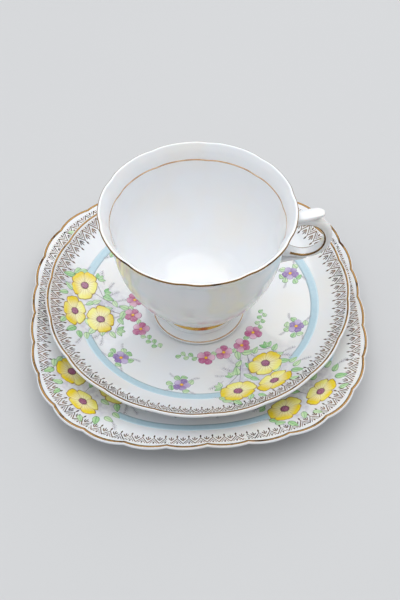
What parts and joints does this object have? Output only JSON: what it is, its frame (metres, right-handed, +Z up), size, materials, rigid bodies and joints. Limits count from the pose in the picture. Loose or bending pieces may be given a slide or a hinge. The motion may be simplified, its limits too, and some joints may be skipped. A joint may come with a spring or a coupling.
{
  "type": "teacup",
  "caption": "Footed bone china teacup with a thumb-rest handle, standing on its lobed saucer and a squared tea plate with a scalloped edge.",
  "frame": {"origin": "centre of the tea plate's foot ring, on the table", "axes": "+Z up, +X towards the cup's handle, +Y away from the drinker"},
  "size_m": [0.162, 0.162, 0.079],
  "materials": {
    "bone_china": "cool white bone china under a clear, glossy, slightly rippled glaze",
    "gilding": "burnished bright gold, worn thin and brown along the rims",
    "enamel": "printed and hand-filled on-glaze enamels: lemon, plum, pink, mauve, leaf green and pale blue"
  },
  "bodies": {
    "plate": {"tea_plate": "bone_china"},
    "saucer": {"saucer": "bone_china"},
    "cup": {"cup_bowl": "bone_china", "cup_foot": "bone_china", "cup_handle": "bone_china"}
  },
  "joints": [
    {"name": "saucer_lift", "type": "slide", "parent": "plate", "child": "saucer", "axis": [0, 0, 1], "range_m": [0, 0.06]},
    {"name": "cup_lift", "type": "slide", "parent": "saucer", "child": "cup", "axis": [0, 0, 1], "range_m": [0, 0.1]}
  ]
}
